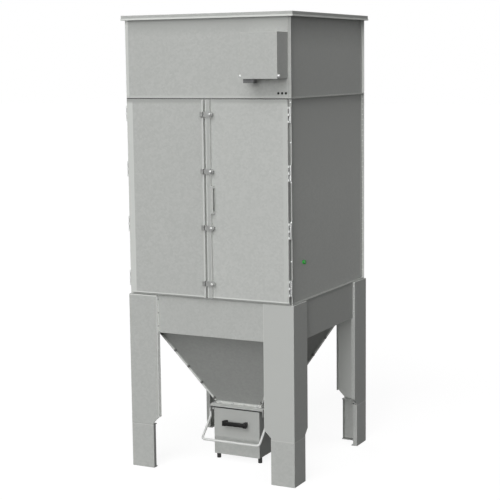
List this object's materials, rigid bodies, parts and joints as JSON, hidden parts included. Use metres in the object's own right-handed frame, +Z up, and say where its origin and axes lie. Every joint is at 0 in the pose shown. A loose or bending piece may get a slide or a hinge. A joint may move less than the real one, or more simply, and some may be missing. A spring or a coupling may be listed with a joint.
{
  "type": "cartridge dust collector",
  "caption": "Standing industrial dust collector: galvanised cabinet with hinged double doors, hanging filter cartridges, a hopper on angle legs and a bin locked by a swinging bail.",
  "frame": {"origin": "on the floor under the middle of the cabinet", "axes": "+Z up, -Y out of the doors, +X to the right when facing the doors"},
  "size_m": [1.036, 1.252, 2.528],
  "materials": {
    "galvanised_sheet": "dull galvanised sheet steel with fine mottling",
    "bright_zinc": "bright zinc-plated steel",
    "light_paint": "light grey satin paint",
    "black_plastic": "matt black moulded plastic",
    "black_rubber": "black rubber",
    "filter_media": "off-white pleated polyester with steel end caps"
  },
  "bodies": {
    "cabinet": {"roof_cover": "galvanised_sheet", "head_front_panel": "galvanised_sheet", "head_left_panel": "galvanised_sheet", "head_right_panel": "galvanised_sheet", "head_rear_panel": "galvanised_sheet", "outlet_spigot": "galvanised_sheet", "control_box_base": "galvanised_sheet", "control_box_cover": "galvanised_sheet", "tube_sheet": "galvanised_sheet", "chamber_left_panel": "galvanised_sheet", "chamber_right_panel": "galvanised_sheet", "chamber_rear_panel": "galvanised_sheet", "inlet_spigot": "galvanised_sheet", "door_frame": "galvanised_sheet", "centre_post": "galvanised_sheet", "hopper_front": "galvanised_sheet", "hopper_rear": "galvanised_sheet", "hopper_left": "galvanised_sheet", "hopper_right": "galvanised_sheet", "outlet_collar": "galvanised_sheet", "bin_cover": "galvanised_sheet", "dust_bin": "galvanised_sheet", "frame_aprons": "galvanised_sheet", "leg_feet": "galvanised_sheet", "leg_front_left": "galvanised_sheet", "leg_front_right": "galvanised_sheet", "leg_rear_left": "galvanised_sheet", "leg_rear_right": "galvanised_sheet", "left_hinges_frame": "bright_zinc", "right_hinges_frame": "bright_zinc", "connector_block": "black_plastic", "bin_handle": "black_plastic", "bin_feet": "black_rubber", "filter_cartridges": "filter_media"},
    "left_door": {"left_door": "galvanised_sheet", "left_hinges_door": "bright_zinc", "latch_keepers": "bright_zinc"},
    "right_door": {"right_door": "galvanised_sheet", "right_hinges_door": "bright_zinc", "latch_pivots": "bright_zinc", "door_grip": "bright_zinc"},
    "latch_1": {"latch_1": "bright_zinc"},
    "latch_2": {"latch_2": "bright_zinc"},
    "latch_3": {"latch_3": "bright_zinc"},
    "latch_4": {"latch_4": "bright_zinc"},
    "bin_bail": {"bin_bail": "light_paint"}
  },
  "joints": [
    {"name": "left_door_hinge", "type": "hinge", "parent": "cabinet", "child": "left_door", "pos_m": [-0.495, -0.506, 1.542], "axis": [0, 0, -1], "range_deg": [0, 110]},
    {"name": "right_door_hinge", "type": "hinge", "parent": "cabinet", "child": "right_door", "pos_m": [0.495, -0.506, 1.542], "axis": [0, 0, 1], "range_deg": [0, 110]},
    {"name": "latch_1_turn", "type": "hinge", "parent": "right_door", "child": "latch_1", "pos_m": [0.0425, -0.5415, 1.086], "axis": [0, 1, 0], "range_deg": [0, 90]},
    {"name": "latch_2_turn", "type": "hinge", "parent": "right_door", "child": "latch_2", "pos_m": [0.0425, -0.5415, 1.39], "axis": [0, 1, 0], "range_deg": [0, 90]},
    {"name": "latch_3_turn", "type": "hinge", "parent": "right_door", "child": "latch_3", "pos_m": [0.0425, -0.5415, 1.694], "axis": [0, 1, 0], "range_deg": [0, 90]},
    {"name": "latch_4_turn", "type": "hinge", "parent": "right_door", "child": "latch_4", "pos_m": [0.0425, -0.5415, 1.998], "axis": [0, 1, 0], "range_deg": [0, 90]},
    {"name": "bail_swing", "type": "hinge", "parent": "cabinet", "child": "bin_bail", "pos_m": [0, -0.175, 0.29], "axis": [-1, 0, 0], "range_deg": [0, 100]}
  ]
}
